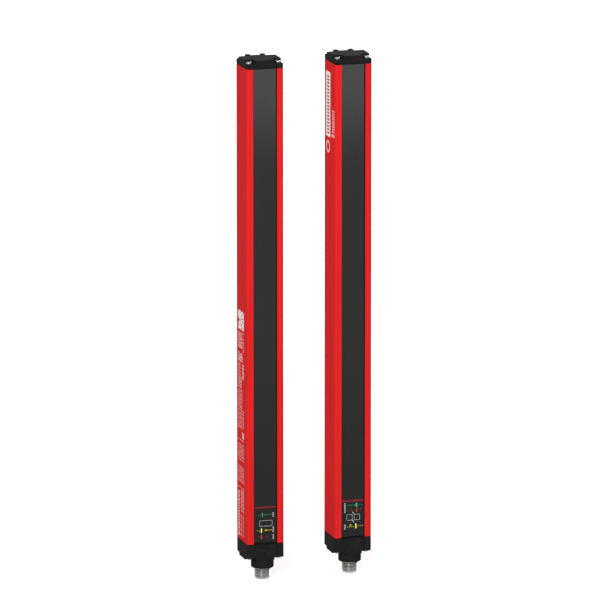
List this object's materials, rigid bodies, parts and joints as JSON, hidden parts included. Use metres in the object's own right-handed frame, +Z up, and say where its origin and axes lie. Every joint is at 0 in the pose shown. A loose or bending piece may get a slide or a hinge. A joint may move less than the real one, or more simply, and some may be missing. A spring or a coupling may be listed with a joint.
{
  "type": "safety light curtain",
  "caption": "Transmitter and receiver bars of a light curtain: red slotted extrusions with dark front windows, black end caps, indicator panels and round threaded plugs.",
  "frame": {"origin": "centre of the pair's overall box: midway between the bars, mid-depth and mid-height", "axes": "+X from the transmitter to the receiver, -Y out of the windows, +Z up along the bars"},
  "size_m": [0.0948, 0.03, 0.3872],
  "materials": {
    "red_paint": "satin red powder coat on the extrusion",
    "tinted_window": "dark infrared-passing acrylic, semi-gloss",
    "black_cap": "fine-textured black moulding",
    "black_seal": "matt black foam and rubber",
    "screw_steel": "bright plated steel",
    "plug_metal": "nickel-plated brass",
    "plug_insert": "black contact carrier",
    "contact_gold": "gold-plated contacts",
    "flex_film": "amber flexible circuit",
    "carrier_black": "matt black light-absorbing moulding",
    "lens_clear": "clear moulded lens strip",
    "board_green": "green solder mask",
    "chip_black": "moulded chip package",
    "diode_package": "dark tinted diode package",
    "lamp_white": "lamp package",
    "pipe_clear": "clear light guide",
    "display_grey": "digit display body"
  },
  "bodies": {
    "root": {"transmitter_housing_profile": "red_paint", "transmitter_front_window": "tinted_window", "transmitter_window_seals": "black_seal", "transmitter_top_cap": "black_cap", "transmitter_top_gasket": "black_seal", "transmitter_top_cap_screws": "screw_steel", "transmitter_bottom_cap": "black_cap", "transmitter_bottom_gasket": "black_seal", "transmitter_bottom_cap_screws": "screw_steel", "transmitter_connector_shell": "plug_metal", "transmitter_connector_insert": "plug_insert", "transmitter_connector_pins": "contact_gold", "transmitter_connector_o_ring": "black_seal", "transmitter_connector_lock_ring": "plug_metal", "transmitter_connector_flex": "flex_film", "transmitter_optics_carrier": "carrier_black", "transmitter_lens_strip": "lens_clear", "transmitter_optics_board": "board_green", "transmitter_control_board": "board_green", "transmitter_safety_controllers": "chip_black", "transmitter_power_components": "chip_black", "transmitter_board_header": "chip_black", "transmitter_indicator_block": "carrier_black", "transmitter_light_pipes": "pipe_clear", "transmitter_indicator_leds": "lamp_white", "transmitter_digit_displays": "display_grey", "transmitter_emitters": "diode_package", "receiver_housing_profile": "red_paint", "receiver_front_window": "tinted_window", "receiver_window_seals": "black_seal", "receiver_top_cap": "black_cap", "receiver_top_gasket": "black_seal", "receiver_top_cap_screws": "screw_steel", "receiver_bottom_cap": "black_cap", "receiver_bottom_gasket": "black_seal", "receiver_bottom_cap_screws": "screw_steel", "receiver_connector_shell": "plug_metal", "receiver_connector_insert": "plug_insert", "receiver_connector_pins": "contact_gold", "receiver_connector_o_ring": "black_seal", "receiver_connector_lock_ring": "plug_metal", "receiver_connector_flex": "flex_film", "receiver_optics_carrier": "carrier_black", "receiver_lens_strip": "lens_clear", "receiver_optics_board": "board_green", "receiver_control_board": "board_green", "receiver_safety_controllers": "chip_black", "receiver_power_components": "chip_black", "receiver_board_header": "chip_black", "receiver_indicator_block": "carrier_black", "receiver_light_pipes": "pipe_clear", "receiver_indicator_leds": "lamp_white", "receiver_digit_displays": "display_grey", "receiver_photodiodes": "diode_package"}
  },
  "joints": []
}
